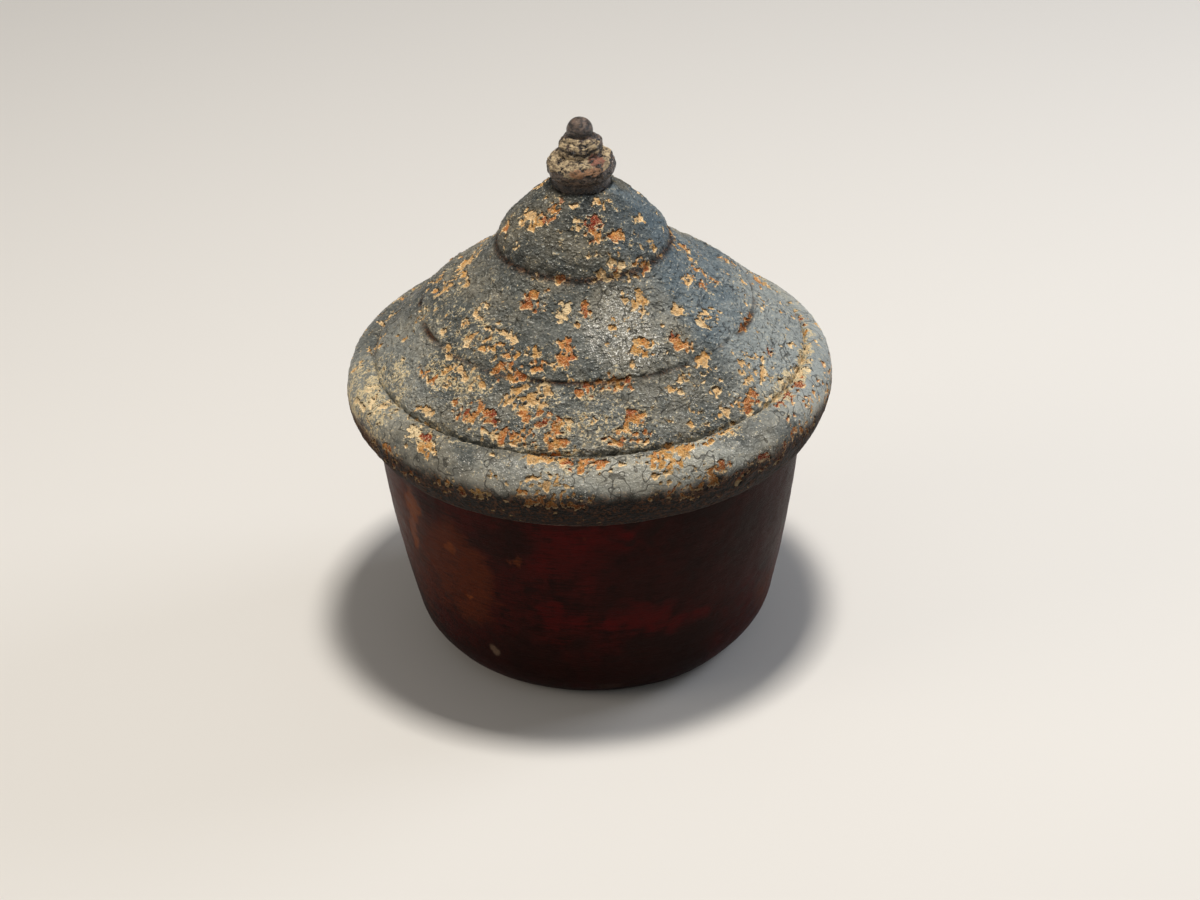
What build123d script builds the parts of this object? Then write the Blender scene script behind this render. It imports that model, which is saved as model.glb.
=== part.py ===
from build123d import *
import os
from math import ceil, sqrt

# A turned wooden powder pot. A thick-walled cup carries an upstanding neck, a hollow lid with stepped rings
# drops over that neck and rests on the cup's shoulder, and a separately turned finial is glued into the lid's
# crown. Every piece is a solid of revolution about Z. The origin is the centre of the cup's base.
# All lengths are millimetres. A run is measured along the radius and a rise along Z, from the ring before it.

# Cup
shoulder_radius = 57.5  # outside of the cup right under the lid
body_height = 64.2  # base to shoulder
body_taper = 8.1  # how much narrower the wall is where the foot begins
body_belly = 1.05  # how far the wall swells past a straight taper
foot_height = 11.9  # height of the rounded foot
foot_run = 8.4  # wall to the edge of the flat base
foot_belly = 1.5
neck_inset = 4.5  # width of the shoulder that the lid sits on
neck_height = 7.0
neck_wall = 4.5
floor_thickness = 9.0
well_round = 20.0  # how far the curve between the well's wall and floor reaches along each
mouth_bevel = 0.6  # eased edges of the neck's top

# Fit of the lid on the neck
lid_clearance = 0.4  # radial
lid_headroom = 1.0  # neck's top to the recess ceiling

# Lid, from the rim's lower edge up to the crown
rim_overhang = 2.0  # rim's lower edge past the cup's shoulder
rim_swell = 5.5  # lower edge to the widest line
rim_lower_rise = 12.0
rim_upper_rise = 8.3
rim_upper_run = 5.6
groove_run = 2.1  # top of the rim bead to the groove
groove_depth = 1.4
lower_tier_edge_rise = 3.6
lower_tier_edge_run = 0.9
lower_tier_bevel = 0.8  # eased corner between the edge and the sloping top
lower_tier_run = 11.8
lower_tier_rise = 10.8
crease_run = 0.9  # lower tier to the foot of the lip
lip_rise = 1.6
lip_run = 0.5
lip_proud = 0.5  # how far the lip's knuckle stands out past its foot
upper_tier_run = 6.8  # rounded lower part
upper_tier_rise = 5.1
upper_tier_belly = 0.3
cove_rise = 12.0  # hollowed upper part, which runs in to the dome's crease
cove_depth = 0.9
dome_crease_run = 0.3
dome_radius = 22.5
dome_shoulder_run = 1.7
dome_shoulder_rise = 4.7
dome_shoulder_belly = 0.4
dome_rise = 11.6
dome_belly = 0.45
crown_ledge = 0.75  # flat left around the finial's collar
crown_thickness = 22.5  # solid wood above the hollow, which holds the finial's tenon
hollow_flat = 12.0  # level middle of the hollow's ceiling
hollow_belly = 6.5
recess_ledge = 3.6  # step between the neck recess and the hollow above it
inner_bevel = 0.6  # eased edge of that step

# Finial, from the crown up
tenon_radius = 5.0
tenon_length = 12.0
tenon_clearance = 0.08  # glue line around the tenon
glue_gap = 0.5  # under the tenon's end
collar_radius = 7.75
collar_height = 2.1
collar_taper = 0.4
ring_overhang = 1.35  # widest line of the wide ring past the collar's top
ring_lower_rise = 3.2
ring_upper_rise = 3.5
ring_upper_run = 3.1
bead_rise = 4.9  # rounded boss between the wide ring and the ball
bead_run = 2.1
bead_belly = 1.05
ball_radius = 3.5
ball_lift = 1.3  # ball's centre above the boss
ball_flat = 0.8  # worn spot on its top

# Curves are turned in short straight cuts, this far at most from the true curve
cut_depth = 0.2
inner_cut_depth = 0.75  # inside, where the gouge is less careful
finial_cut_depth = 0.12

# Sizes that follow from those above
neck_radius = shoulder_radius - neck_inset
mouth_radius = neck_radius - neck_wall
neck_top = body_height + neck_height
recess_radius = neck_radius + lid_clearance
recess_top = neck_top + lid_headroom
rim_foot_radius = shoulder_radius + rim_overhang
rim_radius = rim_foot_radius + rim_swell
lid_crown = (
    body_height + rim_lower_rise + rim_upper_rise - groove_depth
    + lower_tier_edge_rise + lower_tier_rise + lip_rise + upper_tier_rise + cove_rise
    + dome_shoulder_rise + dome_rise
)


def step(start, run, rise):
    """Point that lies run further out and rise further up than start."""
    return Vector(*start) + Vector(run, rise)


def curve(start, aim, end, cut=cut_depth):
    """Curve that leaves start towards aim and comes to end from it, turned in straight cuts no deeper than cut."""
    start, aim, end = Vector(*start), Vector(*aim), Vector(*end)
    cuts = ceil(sqrt((start + end - aim * 2).length / 4 / cut))
    parts = [i / cuts for i in range(cuts + 1)]
    return Polyline(*[start * (1 - t) ** 2 + aim * (2 * t * (1 - t)) + end * t**2 for t in parts])


def swell(start, end, height, cut=cut_depth):
    """Shallow curve that stands height proud of the straight line from start up to end, on its outer side."""
    chord = Vector(*end) - Vector(*start)
    outward = Vector(chord.Y, -chord.X).normalized()
    return curve(start, Vector(*start) + chord / 2 + outward * (2 * height), end, cut)


def roll(widest, run, rise, cut=cut_depth):
    """Curve that leaves the widest point upright and turns in by run over rise, close to an arc of a circle."""
    pull = (run**2 + rise**2) / (2 * rise)
    return curve(widest, step(widest, 0, pull), step(widest, run, rise), cut)


def turned(draw):
    """Solid made by turning the closed outline that draw makes, with radius along X and height along Z."""
    with BuildPart() as piece:
        with BuildSketch(Plane.XZ):
            with BuildLine():
                draw()
            make_face()
        revolve(axis=Axis.Z)
    return piece.part


def cup_outline():
    """Flat base, rounded foot, bellied wall, shoulder, neck, and the well inside."""
    foot_radius = shoulder_radius - body_taper
    base = Line((0, 0), (foot_radius - foot_run, 0))
    foot = swell(base @ 1, (foot_radius, foot_height), foot_belly)
    wall = swell(foot @ 1, (shoulder_radius, body_height), body_belly)
    neck = Polyline(
        wall @ 1,
        (neck_radius, body_height),
        (neck_radius, neck_top - mouth_bevel),
        (neck_radius - mouth_bevel, neck_top),
        (mouth_radius + mouth_bevel, neck_top),
        (mouth_radius, neck_top - mouth_bevel),
        (mouth_radius, floor_thickness + well_round),
    )
    corner = (mouth_radius, floor_thickness)
    bowl = curve(neck @ 1, corner, (mouth_radius - well_round, floor_thickness), inner_cut_depth)
    Polyline(bowl @ 1, (0, floor_thickness), base @ 0)


def rim_outline():
    """Bead that is upright at its widest line and rolls in to the groove; returns the groove's bottom."""
    widest = (rim_radius, body_height + rim_lower_rise)
    roll(widest, -rim_swell, -rim_lower_rise)
    bead = roll(widest, -rim_upper_run, rim_upper_rise)
    groove = Line(bead @ 1, step(bead @ 1, -groove_run, -groove_depth))
    return groove @ 1


def tiers_outline(foot):
    """Two stepped tiers above the groove, the upper with a lip over the lower; returns the dome's foot."""
    brow = step(foot, 0, lower_tier_edge_rise - lower_tier_bevel)
    edge = Polyline(foot, brow, step(foot, -lower_tier_edge_run, lower_tier_edge_rise))
    flank = Line(edge @ 1, step(edge @ 1, -lower_tier_run, lower_tier_rise))
    crease = Line(flank @ 1, step(flank @ 1, -crease_run, 0))
    knuckle = step(crease @ 1, lip_proud - lip_run, lip_rise / 2)
    lip = Polyline(crease @ 1, knuckle, step(crease @ 1, -lip_run, lip_rise))
    upper = swell(lip @ 1, step(lip @ 1, -upper_tier_run, upper_tier_rise), upper_tier_belly)
    cove = swell(upper @ 1, (dome_radius + dome_crease_run, (upper @ 1).Y + cove_rise), -cove_depth)
    dome_crease = Line(cove @ 1, step(cove @ 1, -dome_crease_run, 0))
    return dome_crease @ 1


def lid_outline():
    """Rim, tiers and dome outside; socket, hollow and neck recess inside."""
    foot = tiers_outline(rim_outline())
    shoulder = swell(foot, step(foot, -dome_shoulder_run, dome_shoulder_rise), dome_shoulder_belly)
    dome = swell(shoulder @ 1, (collar_radius + crown_ledge, lid_crown), dome_belly)
    socket_radius = tenon_radius + tenon_clearance
    socket_floor = lid_crown - tenon_length - glue_gap
    hollow_top = lid_crown - crown_thickness
    hollow_foot = (recess_radius - recess_ledge, recess_top)
    socket_wall = [(socket_radius, lid_crown), (socket_radius, socket_floor)]
    Polyline(dome @ 1, *socket_wall, (0, socket_floor), (0, hollow_top), (hollow_flat, hollow_top))
    swell(hollow_foot, (hollow_flat, hollow_top), hollow_belly, inner_cut_depth)
    Polyline(
        hollow_foot,
        (recess_radius - inner_bevel, recess_top),
        (recess_radius, recess_top - inner_bevel),
        (recess_radius, body_height),
        (rim_foot_radius, body_height),
    )


def finial_outline():
    """Tenon, waisted collar, wide ring, rounded boss and a ball."""
    seat = (collar_radius, lid_crown)
    tenon_end = lid_crown - tenon_length
    Polyline((0, tenon_end), (tenon_radius, tenon_end), (tenon_radius, lid_crown), seat)
    collar = Line(seat, (collar_radius - collar_taper, lid_crown + collar_height))
    widest = step(collar @ 1, ring_overhang, ring_lower_rise)
    roll(widest, -ring_overhang, -ring_lower_rise, finial_cut_depth)
    ring = roll(widest, -ring_upper_run, ring_upper_rise, finial_cut_depth)
    bead = swell(ring @ 1, step(ring @ 1, -bead_run, bead_rise), bead_belly, finial_cut_depth)
    girth = Vector(ball_radius, (bead @ 1).Y + ball_lift)
    neck = roll(girth, sqrt(ball_radius**2 - ball_lift**2) - ball_radius, -ball_lift, finial_cut_depth)
    Line(bead @ 1, neck @ 1)
    crown = roll(girth, ball_flat - ball_radius, sqrt(ball_radius**2 - ball_flat**2), finial_cut_depth)
    Polyline(crown @ 1, (0, (crown @ 1).Y), (0, tenon_end))


pieces = {
    "pot": turned(cup_outline),
    "lid": turned(lid_outline),
    "finial": turned(finial_outline),
}

os.makedirs("parts", exist_ok=True)
for name, piece in pieces.items():
    piece.label = name
    export_step(piece, f"parts/{name}.step")
    box = piece.bounding_box()
    print(f"{name}: {piece.volume:.0f} mm3, radius {box.max.X:.2f}, z {box.min.Z:.2f} to {box.max.Z:.2f}")
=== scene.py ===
"""Round turned wooden pot for coloured powder: a lacquered cup, a stepped painted lid and a knobbed finial.

Every piece is one closed skin turned about Z. Its outline is drawn in millimetres, then worn by listed
patches of lost paint and by seeded noise, so chips, wrinkles and crust are real relief. The skins carry the
same fields as vertex attributes, and the materials read them, so colour and relief agree. Lengths are
millimetres unless said otherwise.
"""

import functools
import itertools
import logging
import math
from dataclasses import dataclass, field
from enum import Enum
from typing import Any, Callable, Sequence

import bpy
import numpy as np
from mathutils import Matrix, Vector

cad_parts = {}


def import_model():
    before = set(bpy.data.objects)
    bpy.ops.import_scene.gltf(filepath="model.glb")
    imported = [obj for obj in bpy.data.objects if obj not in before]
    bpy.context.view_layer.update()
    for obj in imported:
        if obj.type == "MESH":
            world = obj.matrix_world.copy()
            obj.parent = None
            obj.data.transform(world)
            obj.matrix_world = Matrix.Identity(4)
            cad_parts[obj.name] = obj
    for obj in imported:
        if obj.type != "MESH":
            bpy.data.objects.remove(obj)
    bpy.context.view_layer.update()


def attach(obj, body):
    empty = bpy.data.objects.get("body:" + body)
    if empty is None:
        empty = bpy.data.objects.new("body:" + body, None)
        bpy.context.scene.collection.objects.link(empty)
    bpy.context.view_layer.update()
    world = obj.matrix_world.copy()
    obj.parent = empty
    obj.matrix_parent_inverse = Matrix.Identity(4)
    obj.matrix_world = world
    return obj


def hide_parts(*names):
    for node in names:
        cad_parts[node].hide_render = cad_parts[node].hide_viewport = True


log = logging.getLogger("tika_pot")

MM = 0.001
Array = np.ndarray
Point = tuple[float, float]  # radius and height
Span = tuple[float, float]  # where something starts and where it is whole
Ripple = tuple[float, float]  # how far noise moves something, and the width of its features
Ramp = tuple[tuple[float, str], ...]  # places from 0 to 1, each with its hex colour
Shaping = Callable[[Array], Array]  # from points to as many points or values
AddNode = Callable[..., Any]  # add_node with its tree given


def linear(code: str) -> tuple[float, float, float, float]:
    """Turns an sRGB hex colour into linear RGBA.

    Args:
        code: Colour as "#rrggbb".

    Returns:
        Red, green, blue and alpha from 0 to 1.
    """
    parts = [int(code[i : i + 2], 16) / 255 for i in (1, 3, 5)]
    curve = [c / 12.92 if c <= 0.04045 else ((c + 0.055) / 1.055) ** 2.4 for c in parts]
    return (curve[0], curve[1], curve[2], 1.0)


def per_metre(size: float) -> float:
    """Texture scale that makes a pattern's features this many millimetres wide."""
    return 1 / (size * MM)


def ease(value: Array, low: float, high: float) -> Array:
    """Smooth step of value from 0 at low to 1 at high, where low may be the larger."""
    part = np.clip((value - low) / (high - low), 0, 1)
    return part * part * (3 - 2 * part)


def shifted(offset: float) -> Shaping:
    """Gives a function that moves points so far to the right, for a piece that isn't true to the axis."""
    return lambda points: points + np.array([offset, 0, 0])


@dataclass(frozen=True)
class Band:
    """A mark that runs round a piece: its levels at places along the outline, and straight between them."""

    places: tuple[float, ...]
    levels: tuple[float, ...]

    def at(self, path: Array) -> Array:
        """Level at each place along the outline."""
        return np.interp(path, self.places, self.levels)


class Tint(Enum):
    """What shows where paint is lost, from the pale ground to the red one."""

    CREAM = 0.0
    TAN = 0.28
    OCHRE = 0.5
    ORANGE = 0.72
    RED = 1.0


@dataclass(frozen=True)
class Patch:
    """A worn place, in degrees round the pot and millimetres along its outline.

    Azimuth 0 faces the viewer and grows to the right.
    """

    left: float
    right: float
    low: float
    high: float
    amount: float
    tint: Tint = Tint.TAN

    # Where it ends and where it is whole, in squared shares of its half sizes
    END, WHOLE = 1.9, 0.5

    def cover(self, azimuth: Array, path: Array) -> Array:
        """How strongly the patch holds at each place.

        Args:
            azimuth: Degrees round the pot.
            path: Millimetres along the outline.

        Returns:
            0 outside, rising to the patch's amount inside.
        """
        across = (azimuth - (self.left + self.right) / 2 + 180) % 360 - 180
        across = across / ((self.right - self.left) / 2)
        along = (path - (self.low + self.high) / 2) / ((self.high - self.low) / 2)
        return self.amount * ease(across**2 + along**2, self.END, self.WHOLE)


def covered(patches: Sequence[Patch], azimuth: Array, path: Array) -> tuple[Array, Array]:
    """Strongest patch at each place.

    Args:
        patches: Patches to join.
        azimuth: Degrees round the pot.
        path: Millimetres along the outline.

    Returns:
        The cover, and the tint value of the patch that gives it.
    """
    cover = np.zeros_like(azimuth)
    tint = np.full_like(azimuth, Tint.TAN.value)
    for patch in patches:
        one = patch.cover(azimuth, path)
        stronger = one > cover
        cover[stronger] = one[stronger]
        tint[stronger] = patch.tint.value
    return cover, tint


class Grain:
    """Seeded solid noise."""

    CELLS = 1024
    GAIN = 1.7  # brings one octave to about -1 to 1
    LAYER_SHIFT, FOLD_SHIFT = 37.0, -53.0  # from octave to octave, so that they don't line up

    def __init__(self, seed: int) -> None:
        """Draws the table that scatters the gradients, and the gradients.

        Args:
            seed: Starts the draws.
        """
        draw = np.random.default_rng(seed)
        self.table = draw.permutation(self.CELLS)
        gradients = draw.normal(size=(self.CELLS, 3))
        self.gradients = gradients / np.linalg.norm(gradients, axis=1, keepdims=True)

    def wave(self, points: Array, size: float) -> Array:
        """One octave of smooth noise.

        Args:
            points: Places, one row each.
            size: Width of a feature.

        Returns:
            Values from about -1 to 1.
        """
        place = points / size
        cell = np.floor(place).astype(np.int64)
        part = place - cell
        blend = part**3 * (part * (part * 6 - 15) + 10)
        total = np.zeros(len(points))
        for corner in itertools.product((0, 1), repeat=3):
            index, weight = 0, 1.0
            for axis, far in enumerate(corner):
                index = self.table[(index + cell[:, axis] + far) % self.CELLS]
                weight = weight * (blend[:, axis] if far else 1 - blend[:, axis])
            total += weight * ((part - corner) * self.gradients[index]).sum(axis=1)
        return total * self.GAIN

    def layers(self, points: Array, size: float, octaves: int = 3) -> Array:
        """Several octaves of noise, each half as wide and half as strong as the one before.

        Args:
            points: Places, one row each.
            size: Width of a feature in the first octave.
            octaves: How many octaves.

        Returns:
            Values around 0, mostly from -1 to 1.
        """
        total = np.zeros(len(points))
        for octave in range(octaves):
            total += self.wave(points + self.LAYER_SHIFT * octave, size / 2**octave) / 2**octave
        return total

    def folds(self, points: Array, size: float, octaves: int = 2) -> Array:
        """Wrinkles: noise with sharp crests.

        Args:
            points: Places, one row each.
            size: Width of a wrinkle in the first octave.
            octaves: How many octaves.

        Returns:
            About 0 in the valleys and 1 on the crests.
        """
        total = np.zeros(len(points))
        for octave in range(octaves):
            wave = self.wave(points + self.FOLD_SHIFT * octave, size / 2**octave)
            total += (1 - np.abs(wave) * 2) / 2**octave
        return total / (2 - 0.5 ** (octaves - 1))


@dataclass
class Outline:
    """Half section of a turned piece, drawn from point to point as radius and height in millimetres."""

    start: Point
    spacing: float
    points: list[Array] = field(init=False)

    def __post_init__(self) -> None:
        """Puts the first point down."""
        self.points = [np.array(self.start, float)]

    def bend(self, aim: Point, end: Point) -> "Outline":
        """Draws a curve.

        Args:
            aim: What it leaves towards, and comes to its end from.
            end: Its last point.

        Returns:
            The outline, to draw on from there.
        """
        first, aim_at, last = self.points[-1], np.array(aim, float), np.array(end, float)
        count = max(2, math.ceil(np.linalg.norm(last - first) / self.spacing * 4))
        for part in np.linspace(0, 1, count + 1)[1:]:
            self.points.append(first * (1 - part) ** 2 + aim_at * 2 * part * (1 - part) + last * part**2)
        return self

    def line(self, *ends: Point) -> "Outline":
        """Draws straight runs.

        Args:
            ends: The end of each run in turn.

        Returns:
            The outline, to draw on from there.
        """
        for end in ends:
            self.bend(tuple((self.points[-1] + np.array(end, float)) / 2), end)
        return self

    def swell(self, end: Point, proud: float) -> "Outline":
        """Draws a shallow curve.

        Args:
            end: Its last point.
            proud: How far it stands out to the right of the straight run, seen along its way.

        Returns:
            The outline, to draw on from there.
        """
        first, last = self.points[-1], np.array(end, float)
        run = last - first
        outward = np.array([run[1], -run[0]]) / np.linalg.norm(run)
        return self.bend(tuple((first + last) / 2 + outward * 2 * proud), end)

    def sampled(self, soften: float) -> tuple[Array, Array]:
        """Even samples of the outline with its corners eased.

        Args:
            soften: Radius over which corners are worn round.

        Returns:
            The samples, one row of radius and height each, and their path from the start.
        """
        raw = np.array(self.points)
        steps = np.concatenate([[0], np.cumsum(np.linalg.norm(np.diff(raw, axis=0), axis=1))])
        count = max(8, math.ceil(steps[-1] / self.spacing))
        path = np.linspace(0, steps[-1], count + 1)
        even = np.stack([np.interp(path, steps, raw[:, i]) for i in (0, 1)], axis=1)
        reach = max(1, math.ceil(3 * soften / self.spacing))
        kernel = np.exp(-0.5 * (np.arange(-reach, reach + 1) * self.spacing / max(soften, 1e-6)) ** 2)
        kernel /= kernel.sum()
        for axis in (0, 1):
            line = even[:, axis]
            before = 2 * line[0] - line[reach:0:-1]
            after = 2 * line[-1] - line[-2 : -reach - 2 : -1]
            even[:, axis] = np.convolve(np.concatenate([before, line, after]), kernel, "valid")
        return even, path


@dataclass(frozen=True)
class Flakes:
    """Paint as a mosaic of angular flakes, each of which is lost or kept as a whole."""

    size: float
    seed: int

    FAR_OFF = 1e6

    def margin(self, points: Array, loss: Shaping) -> Array:
        """How far each place is inside lost flakes.

        Args:
            points: Places in millimetres, one row each.
            loss: Gives the chance that a flake is lost from the places of flakes' middles.

        Returns:
            Millimetres, positive where the flake is lost, 0 on the broken edge, and never past one size.
        """
        draw = np.random.default_rng(self.seed)
        low = points.min(axis=0) - 2 * self.size
        shape = np.ceil((points.max(axis=0) - low) / self.size).astype(int) + 3
        cell = np.floor((points - low) / self.size).astype(int)
        used = np.zeros(shape, bool)
        used[cell[:, 0], cell[:, 1], cell[:, 2]] = True
        near = used.copy()
        steps = list(itertools.product((-1, 0, 1), repeat=3))
        for step in steps:
            near |= np.roll(used, step, axis=(0, 1, 2))
        middles = np.full((*shape, 3), self.FAR_OFF)
        places = np.argwhere(near)
        middles[near] = low + (places + draw.random(places.shape)) * self.size
        lost = np.zeros(shape, bool)
        lost[near] = draw.random(len(places)) < loss(middles[near])
        to_lost = np.full(len(points), self.size * 2)
        to_kept = np.full(len(points), self.size * 2)
        for step in steps:
            index = tuple((cell + step).T)
            gap = np.linalg.norm(points - middles[index], axis=1)
            gone = lost[index]
            to_lost = np.where(gone & (gap < to_lost), gap, to_lost)
            to_kept = np.where(~gone & (gap < to_kept), gap, to_kept)
        return np.clip(to_kept - to_lost, -self.size, self.size)


@dataclass
class TurnedSkin:
    """Closed skin of revolution that can be worn before it becomes a mesh."""

    name: str
    inner: Outline
    outer: Outline
    segments: int
    soften: float  # radius over which corners are worn round
    wander: float  # how far the mouldings wander up and down
    wander_size: float
    grain: Grain

    LEAST_RADIUS = 0.02
    ACROSS_SHIFT, ALONG_SHIFT = 211, -117  # so that the two pulls on a patch differ
    UV_MARGIN = 0.01
    AT_ONCE = 4096  # places that are located together, to save memory

    def __post_init__(self) -> None:
        """Samples the outline, from the inner end to the outer one, and lays out the rings."""
        inside, inside_path = self.inner.sampled(self.soften)
        outside, outside_path = self.outer.sampled(self.soften)
        self.section = np.concatenate([inside[::-1], outside[1:]])
        self.section_path = np.concatenate([-inside_path[::-1], outside_path[1:]])
        slope = np.gradient(self.section, self.section_path, axis=0)
        facing = np.stack([slope[:, 1], -slope[:, 0]], axis=1)
        self.section_facing = facing / np.linalg.norm(facing, axis=1, keepdims=True)
        self.rings = len(self.section)
        turn = np.arange(self.segments) / self.segments * 360 - 180
        self.azimuth = np.tile(turn, self.rings)
        self.path = np.repeat(self.section_path, self.segments)
        self.rest = self.turned(*self.along(self.section, 0.0))
        shift = self.wander * self.grain.layers(self.rest, self.wander_size, 2)
        self.radius, self.height = self.along(self.section, shift)
        self.facing_out, self.facing_up = self.along(self.section_facing, shift)
        self.raised = np.zeros(len(self.path))
        self.fields: dict[str, Array] = {}

    def along(self, values: Array, shift: Array | float) -> tuple[Array, ...]:
        """Both columns of values along the outline, read for each vertex at its path and a shift."""
        return tuple(np.interp(self.path + shift, self.section_path, column) for column in values.T)

    def turned(self, radius: Array, height: Array) -> Array:
        """Points at each vertex's azimuth with the given radius and height."""
        turn = np.radians(self.azimuth)
        return np.stack([radius * np.sin(turn), -radius * np.cos(turn), height], axis=1)

    def located(self, places: Array) -> tuple[Array, Array]:
        """Azimuth and path of places near the skin.

        Args:
            places: Points, one row each.

        Returns:
            Degrees round the axis, and the path along the outline.
        """
        azimuth = np.degrees(np.arctan2(places[:, 0], -places[:, 1]))
        flat = np.stack([np.hypot(places[:, 0], places[:, 1]), places[:, 2]], axis=1)
        path = np.empty(len(places))
        for start in range(0, len(places), self.AT_ONCE):
            part = flat[start : start + self.AT_ONCE]
            gap = ((part[:, None, :] - self.section[None]) ** 2).sum(axis=2)
            path[start : start + self.AT_ONCE] = self.section_path[gap.argmin(axis=1)]
        return azimuth, path

    def patched(self, patches: Sequence[Patch], ragged: float, size: float) -> tuple[Array, Array]:
        """Strongest patch at each vertex, with outlines pulled about by noise.

        Args:
            patches: Patches to join.
            ragged: How far outlines are pulled.
            size: Width of the pulls.

        Returns:
            The cover, and the tint value of the patch that gives it.
        """
        across = ragged * self.grain.layers(self.rest + self.ACROSS_SHIFT, size, 3)
        along = ragged * self.grain.layers(self.rest + self.ALONG_SHIFT, size, 3)
        turned = self.azimuth + np.degrees(across / np.maximum(self.radius, 3))
        return covered(patches, turned, self.path + along)

    def worn(self) -> Array:
        """Wears the skin.

        Returns:
            Its points, ring by ring, and last the middles of its two ends.
        """
        radius = np.maximum(self.radius + self.raised * self.facing_out, self.LEAST_RADIUS)
        height = self.height + self.raised * self.facing_up
        ends = [[0, 0, height[: self.segments].mean()], [0, 0, height[-self.segments :].mean()]]
        return np.vstack([self.turned(radius, height), ends])

    def faces(self) -> tuple[Array, Array]:
        """Quads between the rings, and a fan of triangles at each end.

        Returns:
            The vertices of all faces, one after another, and how many each face has.
        """
        seg = np.arange(self.segments)
        after = (seg + 1) % self.segments
        ring = (np.arange(self.rings - 1) * self.segments)[:, None]
        next_ring = ring + self.segments
        quads = np.stack([ring + seg, ring + after, next_ring + after, next_ring + seg], axis=2)
        last = (self.rings - 1) * self.segments
        low_end = self.rings * self.segments
        low_fan = np.stack([np.full_like(seg, low_end), after, seg], axis=1)
        high_fan = np.stack([last + seg, last + after, np.full_like(seg, low_end + 1)], axis=1)
        loops = np.concatenate([quads.ravel(), low_fan.ravel(), high_fan.ravel()])
        sizes = np.concatenate([np.full(quads.size // 4, 4), np.full(2 * self.segments, 3)])
        return loops, sizes

    def mesh(self, lean: Shaping) -> bpy.types.Object:
        """Builds the worn skin as an object.

        Args:
            lean: Moves the finished points, for what isn't round in the real piece.

        Returns:
            The object, with the fields as vertex attributes and its outline unrolled as UVs.
        """
        points = lean(self.worn()) * MM
        loops, sizes = self.faces()
        mesh = bpy.data.meshes.new(self.name)
        mesh.vertices.add(len(points))
        mesh.vertices.foreach_set("co", points.astype(np.float32).ravel())
        mesh.loops.add(len(loops))
        mesh.loops.foreach_set("vertex_index", loops.astype(np.int32))
        mesh.polygons.add(len(sizes))
        mesh.polygons.foreach_set("loop_start", (np.cumsum(sizes) - sizes).astype(np.int32))
        mesh.polygons.foreach_set("use_smooth", np.ones(len(sizes), bool))
        mesh.update(calc_edges=True)
        self.unroll(mesh)
        for name, values in self.fields.items():
            layer = mesh.attributes.new(name, "FLOAT", "POINT")
            ends = [values[: self.segments].mean(), values[-self.segments :].mean()]
            layer.data.foreach_set("value", np.concatenate([values, ends]).astype(np.float32))
        piece = bpy.data.objects.new(self.name, mesh)
        bpy.context.scene.collection.objects.link(piece)
        return piece

    def unroll(self, mesh: bpy.types.Mesh) -> None:
        """Lays the skin out flat as UVs, with the azimuth across and the path up.

        Args:
            mesh: Mesh with its faces in the order that faces() gives.
        """
        seg = np.arange(self.segments) / self.segments
        after = seg + 1 / self.segments
        middle = (seg + after) / 2
        up = (self.section_path - self.section_path[0]) / np.ptp(self.section_path)
        up = self.UV_MARGIN + (1 - 2 * self.UV_MARGIN) * up
        sheet = np.empty((self.rings - 1, self.segments, 4, 2))
        sheet[..., 0] = np.stack([seg, after, after, seg], axis=1)
        sheet[..., :2, 1] = up[:-1, None, None]
        sheet[..., 2:, 1] = up[1:, None, None]
        low, high = np.full_like(seg, up[0]), np.full_like(seg, up[-1])
        low_fan = np.stack([middle, np.zeros_like(seg), after, low, seg, low], axis=1)
        high_fan = np.stack([seg, high, after, high, middle, np.ones_like(seg)], axis=1)
        flat = np.concatenate([sheet.ravel(), low_fan.ravel(), high_fan.ravel()])
        layer = mesh.uv_layers.new(name="OFBake")
        layer.data.foreach_set("uv", flat.astype(np.float32))


def add_node(
    tree: bpy.types.NodeTree,
    kind: str,
    links: dict[Any, Any] | None = None,
    stops: Sequence[tuple[float, str]] = (),
    **settings: Any,
) -> bpy.types.NodeSocket | None:
    """Adds a shader node with its settings and links.

    Args:
        tree: Node tree to add to.
        kind: Blender's name of the node's type, after the part that all shader nodes share.
        links: Input names or numbers, each with a socket, a plain value or a hex colour.
        stops: Positions and hex colours of a colour ramp.
        settings: Properties of the node.

    Returns:
        The node's first output in use.
    """
    node = tree.nodes.new("ShaderNode" + kind)
    for name, value in settings.items():
        setattr(node, name, value)
    for key, value in (links or {}).items():
        socket = next(s for i, s in enumerate(node.inputs) if s.enabled and key in (i, s.name))
        if isinstance(value, bpy.types.NodeSocket):
            tree.links.new(value, socket)
        else:
            socket.default_value = linear(value) if isinstance(value, str) else value
    for number, (position, code) in enumerate(stops):
        elements = node.color_ramp.elements
        stop = elements[number] if number < 2 else elements.new(position)
        stop.position = position
        stop.color = linear(code)
    return next((socket for socket in node.outputs if socket.enabled), None)


@dataclass(frozen=True)
class Coat:
    """A colour laid over those below it, from nothing at one level of its field to its full strength."""

    cover: Any
    nothing: float
    full: float
    colour: Any
    strength: float = 1.0


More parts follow.
